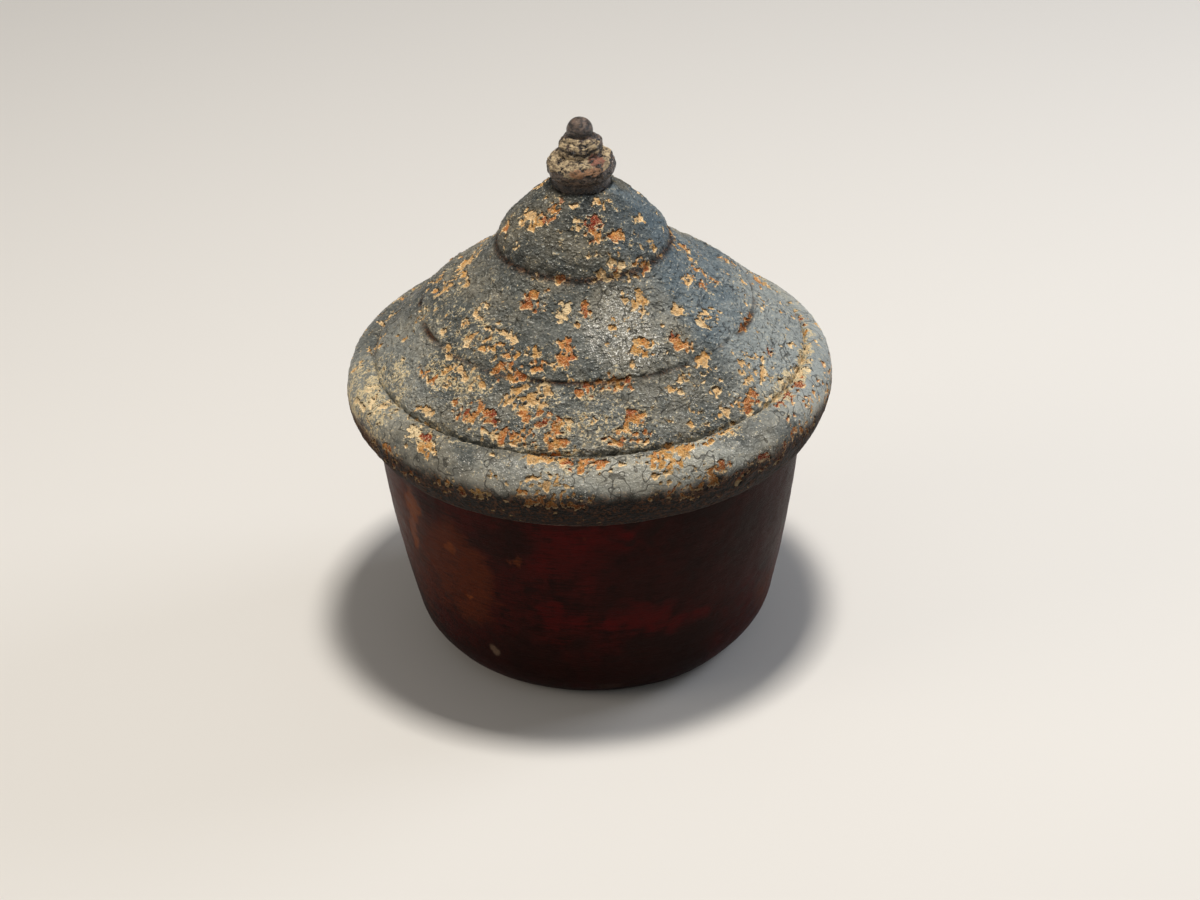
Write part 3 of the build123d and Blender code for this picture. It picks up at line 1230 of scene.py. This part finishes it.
    crusted: tuple[Patch, ...] = (
        Patch(-86, -56, 10, 34, 0.95),
        Patch(-60, -36, 36, 48, 0.6),
        Patch(48, 95, 24, 30, 0.95),
        Patch(-85, -40, 46, 62, 0.35),
        Patch(-50, 60, 22, 30, 0.35),
        Patch(-20, 18, 30, 46, 0.42),
        Patch(120, 180, 22, 34, 0.6),
        Patch(-160, -120, 24, 48, 0.5),
    )
    # Where the paint is glossier and the painted glints gather
    shiny: tuple[Patch, ...] = (
        Patch(0, 32, 51, 74, 1.0),
        Patch(-34, 44, 11, 24, 0.6),
        Patch(-50, 50, 28, 44, 0.35),
    )
    # The rim's dusting, with a painted sheen on the front of the rim's top and on the right side
    dusty: tuple[Patch, ...] = (
        Patch(-400, 400, 12, 23.5, 0.2),
        Patch(-32, -6, 12, 23.5, 0.85),
        Patch(-12, 42, 12.5, 24, 1.55),
        Patch(-55, 55, 27, 46, 0.2),
        Patch(-14, 14, 29, 46, 0.4),
        Patch(50, 125, 10, 52, 1.3),
        Patch(-95, -52, 12, 46, 0.75),
        Patch(-20, 40, 56, 70, 0.3),
    )
    # Where the painted bluish sheen lies, on the right
    cooled: tuple[Patch, ...] = (Patch(52, 118, 10, 100, 1.0), Patch(26, 80, 60, 100, 0.4))

    def outline(self) -> tuple[Outline, Outline]:
        """Draws the lid.

        Returns:
            The recess and hollow, and the mouldings from rim to crown.
        """
        inner = Outline(self.rim_foot, self.inner_spacing)
        inner.line((self.recess_radius, self.rim_foot[1]), (self.recess_radius, self.recess_top))
        inner.line((self.ledge_radius, self.recess_top)).swell(self.hollow_top, self.hollow_belly)
        inner.line((self.closing, self.hollow_top[1]))
        outer = Outline(self.rim_foot, self.spacing)
        outer.bend((self.widest[0], self.widest[1] - self.rim_lower_pull), self.widest)
        outer.bend((self.widest[0], self.widest[1] + self.rim_upper_pull), self.bead_top)
        outer.swell(self.groove, 0.2).swell(self.edge, 0.6).line(self.flank, self.crease)
        outer.swell(self.lip, 0.5).swell(self.upper, 0.3).swell(self.cove, -0.9).line(self.dome_foot)
        outer.swell(self.dome_shoulder, 0.4).swell(self.crown, 0.45).line((self.closing, self.crown[1]))
        return inner, outer

    def loss(self, skin: TurnedSkin, grain: Grain, share: float) -> Shaping:
        """Chance that a flake is lost, from the placed patches at the front and clustered noise behind.

        Args:
            skin: The lid's skin.
            grain: Noise that clusters the chips at the back.
            share: How much of the patches this size of flake takes.

        Returns:
            A function of the flakes' middles.
        """

        def chance(places: Array) -> Array:
            """Chance at each place.

            Args:
                places: Middles of flakes, one row each.

            Returns:
                0 for a flake that is kept for certain, up to 1 for one that is lost.
            """
            azimuth, path = skin.located(places)
            placed = covered(self.lost, azimuth, path)[0]
            behind = ease(np.abs(azimuth), *self.front)
            cluster = ease(grain.layers(places, 11, 2), 0.22, 0.62)
            scattered = cluster * (0.35 + 0.4 * ease(path, 22, 30)) + 0.02
            sprinkle = 0.006 + 0.02 * ease(grain.wave(places, 9), 0.1, 0.6)
            total = np.maximum(placed * share, sprinkle) + scattered * behind * share
            return total * (path > 2)

        return chance

    def chips(self, skin: TurnedSkin, grain: Grain, whole: Array) -> Array:
        """Breaks flakes of paint out of the skin.

        Args:
            skin: The lid's skin.
            grain: Noise that tears the flakes' outlines.
            whole: 1 where the paint can't chip, and 0 elsewhere.

        Returns:
            How far each vertex is inside a chip's broken edge, negative on the paint that is left.
        """
        pull, size = self.tear
        warp = np.stack([grain.layers(skin.rest + shift, size, 2) for shift in (0, 91, 173)], axis=1)
        shown = skin.path > -1
        torn = skin.rest[shown] + pull * warp[shown]
        chip = np.full(len(skin.path), -2.0)
        margins = [flakes.margin(torn, self.loss(skin, grain, share)) for flakes, share in self.flakes]
        chip[shown] = np.max(margins, axis=0)
        return np.minimum(chip, 2 - 4 * whole)

    def tints(self, skin: TurnedSkin, grain: Grain) -> Array:
        """Colours the ground in the chips.

        Args:
            skin: The lid's skin.
            grain: Noise that varies the colour.

        Returns:
            Values of Tint, blended.
        """
        tint = covered(self.lost, skin.azimuth, skin.path)[1] + 0.25 * grain.layers(skin.rest, 4, 2)
        behind = ease(np.abs(skin.azimuth), *self.back)
        return tint * (1 - behind) + behind * (0.45 + 0.5 * grain.layers(skin.rest + 300, 9, 2))

    def relief(self, skin: TurnedSkin, grain: Grain, chip: Array, painted: Array) -> Array:
        """Raises leathery wrinkles and the paint's curled edges, and sinks the chips.

        Args:
            skin: The lid's skin, with its crust among the fields.
            grain: Noise for the wrinkles.
            chip: How far each vertex is inside a chip.
            painted: 1 outside, and 0 in the recess and hollow.

        Returns:
            How far each vertex stands out.
        """
        rim = ease(skin.path, *self.rim_span)
        crown = ease(skin.path, *self.crown_span)
        level = skin.rest * np.array([1, 1, 1.5])
        leather = 0.3 * grain.layers(level, 7, 2) + 0.42 * (grain.folds(level, 4.2, 3) - 0.5)
        leather += 0.14 * grain.layers(level, 1.7, 2)
        swells = 0.3 * grain.layers(skin.rest, 24, 2)
        raised = (1 - crown) * (leather * (1 - 0.55 * rim) + swells + 0.18 * skin.fields["crust"])
        raised -= self.chip_depth * ease(chip, -0.05, 0.4)
        raised += self.curl * ease(chip, -0.7, -0.12) * ease(chip, 0.12, -0.05)
        return raised * painted

    def grime(self, skin: TurnedSkin, grain: Grain, painted: Array) -> Array:
        """Paints shade on the rim's underside, the groove, the crease under the lip and the one under the
        dome.

        Args:
            skin: The lid's skin, with its crust among the fields.
            grain: Noise that breaks the grime up.
            painted: 1 outside, and 0 in the recess and hollow.

        Returns:
            0 where there is no painted shade, and 1 where it is black.
        """
        under = skin.path + 0.9 * grain.layers(skin.rest, 5, 3)
        lower = sum(share * ease(under, *span) for span, share in self.under_grime) * painted
        dark = self.lip_grime.at(skin.path) * np.clip(0.5 + 0.9 * grain.layers(skin.rest, 10, 2), 0, 1)
        dark = np.maximum(dark, self.groove_grime.at(skin.path) * (1 - skin.fields["crust"]))
        dark = np.maximum(dark, self.dome_grime.at(skin.path))
        return np.clip(dark + lower, 0, 1) * painted

    def build(self, finish: AgedGreyPaint) -> bpy.types.Object:
        """Builds and dresses the lid.

        Args:
            finish: What the wood is finished with.

        Returns:
            The lid.
        """
        inner, outer = self.outline()
        grain = Grain(self.seed)
        skin = TurnedSkin("lid_shell", inner, outer, self.segments, self.soften, *self.wander, grain)
        inside = ease(skin.path, *self.inside_span)
        painted = 1 - inside
        chip = self.chips(skin, grain, np.maximum(inside, ease(skin.path, *self.crown_span)))
        beside = chip.reshape(skin.rings, skin.segments)
        crust = skin.patched(self.crusted, *self.crust_pull)[0] * (0.7 + 0.5 * grain.layers(skin.rest, 5, 3))
        skin.fields["crust"] = np.clip(crust, 0, 1) * painted
        skin.raised += self.relief(skin, grain, chip, painted)
        skin.fields.update(
            chip=chip,
            # The chip one ring higher and one lower, for the painted shadow and highlight on the broken edges
            above=np.roll(beside, -1, axis=0).ravel(),
            below=np.roll(beside, 1, axis=0).ravel(),
            tint=self.tints(skin, grain),
            # Painted bluish sheen, only on faces that look up
            cool=skin.patched(self.cooled, *self.cool_pull)[0] * ease(skin.facing_up, -0.2, 0.5),
            sheen=skin.patched(self.shiny, *self.shine_pull)[0],
            wrinkled=0.88 - 0.4 * ease(skin.path, *self.rim_span),
            # Dusting and painted sheen, less a painted shade over the dome
            dust=skin.patched(self.dusty, *self.dust_pull)[0] - 0.5 * ease(skin.path, *self.dust_end),
            # Painted shade under the rim and in the creases
            shade=self.grime(skin, grain, painted),
            inside=inside,
        )
        lid = skin.mesh(self.leaning)
        lid.data.materials.append(finish.build())
        return lid

    def leaning(self, points: Array) -> Array:
        """Sets the dome and all above it a little to the left, and flattens the left shoulder.

        Args:
            points: Points of the worn skin.

        Returns:
            The points where they are on the real lid.
        """
        moved = points.copy()
        moved[:, 0] -= self.lean * ease(points[:, 2], *self.lean_span)
        left = ease(-points[:, 0], 34, 56) * ease(points[:, 2], 80, 86) * ease(points[:, 2], 97, 91)
        moved[:, 2] -= self.shoulder_drop * left
        moved[:, 0] += self.shoulder_set * left
        return moved


@dataclass
class Knob:
    """Finial: collar, wide crusted ring, rounded boss and a worn ball."""

    stub: Point = (5.0, 130.0)
    collar: Point = (7.75, 132.4)
    collar_top: Point = (7.35, 134.6)
    widest: Point = (8.7, 137.8)
    ring_lower_pull: float = 1.9
    ring_upper_pull: float = 3.1
    ring_top: Point = (5.6, 141.3)
    boss_top: Point = (3.5, 146.2)
    boss_belly: float = 1.05
    ball_centre: float = 147.5
    ball_radius: float = 3.45
    ball_flat: float = 0.09  # angle about the axis that is left open at the ball's top, in radians
    ball_steps: int = 24
    closing: float = 0.3  # radius of the fan that closes the stub at the axis
    spacing: float = 0.2
    inner_spacing: float = 0.6
    segments: int = 224
    seed: int = 61
    offset: float = -0.4
    soften: float = 0.16
    wander: Ripple = (0.35, 4.0)
    # Creases in the crust, cut into the relief and darkened with painted shade
    creases: tuple[Band, ...] = (
        Band((12.0, 12.9, 13.7), (0, 0.95, 0)),
        Band((15.0, 15.5, 16.1), (0, 0.8, 0)),
    )
    crease_depth: float = 0.3
    # Painted shade at the ball's foot
    ball_foot: Band = Band((17.0, 17.9, 20.6), (0, 0.85, 0))
    crusted: tuple[Patch, ...] = (
        Patch(-180, 180, 8.5, 13.5, 0.75),
        Patch(-110, 70, 6.0, 12, 1.0),
        Patch(-90, 60, 13, 17, 0.75),
        Patch(80, 200, 7, 15, 0.8),
        Patch(-180, -90, 7, 16, 0.7),
    )
    reddened: tuple[Patch, ...] = (
        Patch(16, 60, 7.5, 13, 0.7),
        Patch(-20, 60, 4, 6.5, 0.55),
        Patch(150, 190, 8, 11, 0.75),
    )
    orange: tuple[Patch, ...] = (Patch(-25, 45, 5.4, 8.4, 0.72), Patch(120, 150, 6, 8, 0.7))

    def outline(self) -> tuple[Outline, Outline]:
        """Draws the finial.

        Returns:
            The seat with the stub of the tenon, and the turnings up to the ball's top.
        """
        inner = Outline(self.collar, self.inner_spacing)
        inner.line((self.stub[0], self.collar[1]), self.stub, (self.closing, self.stub[1]))
        outer = Outline(self.collar, self.spacing)
        outer.line(self.collar_top)
        outer.bend((self.widest[0], self.widest[1] - self.ring_lower_pull), self.widest)
        outer.bend((self.widest[0], self.widest[1] + self.ring_upper_pull), self.ring_top)
        outer.swell(self.boss_top, self.boss_belly)
        low = math.asin((self.boss_top[1] - self.ball_centre) / self.ball_radius)
        for turn in np.linspace(low, math.pi / 2 - self.ball_flat, self.ball_steps):
            out, up = self.ball_radius * math.cos(turn), self.ball_radius * math.sin(turn)
            outer.line((out, self.ball_centre + up))
        return inner, outer

    def build(self, finish: CrustedFinialWood) -> bpy.types.Object:
        """Builds and dresses the finial.

        Args:
            finish: What shows on the wood.

        Returns:
            The finial.
        """
        inner, outer = self.outline()
        grain = Grain(self.seed)
        skin = TurnedSkin("finial_knob", inner, outer, self.segments, self.soften, *self.wander, grain)
        crust = covered(self.crusted, skin.azimuth, skin.path)[0]
        crust = np.clip(crust * (0.85 + 0.6 * grain.layers(skin.rest, 2.6, 2)), 0, 1)
        body = ease(skin.path, 2.2, 4.5) * ease(skin.path, 18.5, 16.5)
        lumps = 0.42 * grain.layers(skin.rest, 3.4, 3) * body
        lumps += 0.06 * grain.layers(skin.rest, 2.2, 2)
        crack = ease(grain.folds(skin.rest, 2.6, 2), 0.86, 0.97) * body
        skin.raised += (lumps + 0.25 * crust * grain.layers(skin.rest, 1.1, 2)) - 0.3 * crack
        skin.raised *= ease(skin.path, -0.3, 0.8)
        wavy = skin.path + 0.9 * grain.layers(skin.rest + 29, 3.2, 2)
        crease = sum(band.at(wavy) for band in self.creases)
        skin.raised -= self.crease_depth * crease
        # Painted shade in the creases and at the ball's foot, and a darkening of the collar
        dark = crease + self.ball_foot.at(skin.path) + 0.55 * ease(skin.path, 4.0, 2.2)
        skin.fields.update(
            crust=crust * ease(crack, 0.6, 0.1),
            red=covered(self.reddened, skin.azimuth, skin.path)[0],
            orange=covered(self.orange, skin.azimuth, skin.path)[0],
            # Cracks, with the painted shade in the creases and at the ball's foot
            crack=np.clip(crack * 0.8 + dark, 0, 1),
        )
        knob = skin.mesh(shifted(self.offset))
        knob.data.materials.append(finish.build())
        return knob


@dataclass(frozen=True)
class Lamp:
    """Soft square lamp. Metres and watts."""

    name: str
    place: tuple[float, float, float]
    size: float
    power: float
    colour: str

    def hang(self, aim: tuple[float, float, float]) -> None:
        """Hangs the lamp.

        Args:
            aim: What it faces.
        """
        data = bpy.data.lights.new(self.name, "AREA")
        data.size = self.size
        data.energy = self.power
        data.color = linear(self.colour)[:3]
        lamp = bpy.data.objects.new(self.name, data)
        bpy.context.scene.collection.objects.link(lamp)
        facing = (Vector(aim) - Vector(self.place)).to_track_quat("-Z", "Y")
        lamp.matrix_world = Matrix.Translation(self.place) @ facing.to_matrix().to_4x4()


@dataclass
class Studio:
    """Pale floor, soft lamps and the viewpoint. Metres and degrees, with the lens in millimetres."""

    eye: tuple[float, float, float] = (0.0, -0.73596, 0.49070)
    target: tuple[float, float, float] = (0.002114, 0.0, 0.05119)
    roll: float = 1.897
    lens: float = 93.99
    sensor: float = 36.0
    sight: float = 20.0
    floor_radius: float = 3.0
    floor_sides: int = 96
    floor_colour: str = "#dcd9d3"
    floor_roughness: float = 0.9
    sky_colour: str = "#f4f5f7"
    sky_strength: float = 0.22
    lamp_aim: tuple[float, float, float] = (0.0, 0.0, 0.08)
    lamps: tuple[Lamp, ...] = (
        Lamp("key_above", (0.07, -0.04, 1.0), 0.14, 8.4, "#fffaf4"),
        Lamp("fill_left", (-0.9, -0.25, 0.45), 0.5, 2.0, "#fff1df"),
        Lamp("rim_right", (0.8, 0.3, 0.5), 0.4, 3.0, "#eaf1ff"),
    )

    def camera(self) -> None:
        """Sets the camera at the viewpoint, rolled a little as the object was seen."""
        data = bpy.data.cameras.new("view")
        data.lens = self.lens
        data.sensor_width = self.sensor
        data.clip_end = self.sight
        camera = bpy.data.objects.new("view", data)
        bpy.context.scene.collection.objects.link(camera)
        eye = Vector(self.eye)
        ahead = (Vector(self.target) - eye).normalized()
        right = ahead.cross(Vector((0, 0, 1))).normalized()
        up = right.cross(ahead)
        turn = math.radians(self.roll)
        tilted_up = up * math.cos(turn) + right * math.sin(turn)
        tilted_right = ahead.cross(tilted_up)
        basis = Matrix((tilted_right, tilted_up, -ahead)).transposed()
        camera.matrix_world = Matrix.Translation(eye) @ basis.to_4x4()
        bpy.context.scene.camera = camera

    def floor(self) -> None:
        """Lays a pale matt floor."""
        mesh = bpy.data.meshes.new("floor")
        rim = [
            (self.floor_radius * math.cos(turn), self.floor_radius * math.sin(turn), 0.0)
            for turn in np.linspace(0, 2 * math.pi, self.floor_sides, endpoint=False)
        ]
        mesh.from_pydata(rim, [], [list(range(self.floor_sides))])
        floor = bpy.data.objects.new("floor", mesh)
        bpy.context.scene.collection.objects.link(floor)
        material = bpy.data.materials.new("pale_floor")
        material.use_nodes = True
        shader = material.node_tree.nodes["Principled BSDF"]
        shader.inputs["Base Color"].default_value = linear(self.floor_colour)
        shader.inputs["Roughness"].default_value = self.floor_roughness
        mesh.materials.append(material)

    def build(self) -> None:
        """Sets up world, lamps, floor and camera."""
        scene = bpy.context.scene
        scene.view_settings.view_transform = "Standard"
        world = bpy.data.worlds.new("studio")
        scene.world = world
        world.use_nodes = True
        sky = world.node_tree.nodes["Background"]
        sky.inputs["Color"].default_value = linear(self.sky_colour)
        sky.inputs["Strength"].default_value = self.sky_strength
        for lamp in self.lamps:
            lamp.hang(self.lamp_aim)
        self.floor()
        self.camera()


def main() -> None:
    """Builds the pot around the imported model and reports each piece."""
    logging.basicConfig(level=logging.INFO, format="%(name)s: %(message)s")
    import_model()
    Studio().build()
    pieces = (
        (Cup().build(OxbloodLacquer("oxblood_lacquer")), "pot", "pot", "pot_lacquer"),
        (PaintedLid().build(AgedGreyPaint("aged_grey_paint")), "lid", "lid", "lid_paint"),
        (Knob().build(CrustedFinialWood("crusted_finial_wood")), "lid", "finial", "finial_wood"),
    )
    for piece, body, node, slot in pieces:
        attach(piece, body)
        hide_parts(node)
        log.info("%s: %d faces, rides on %s", piece.name, len(piece.data.polygons), body)


if __name__ == "__main__":
    main()
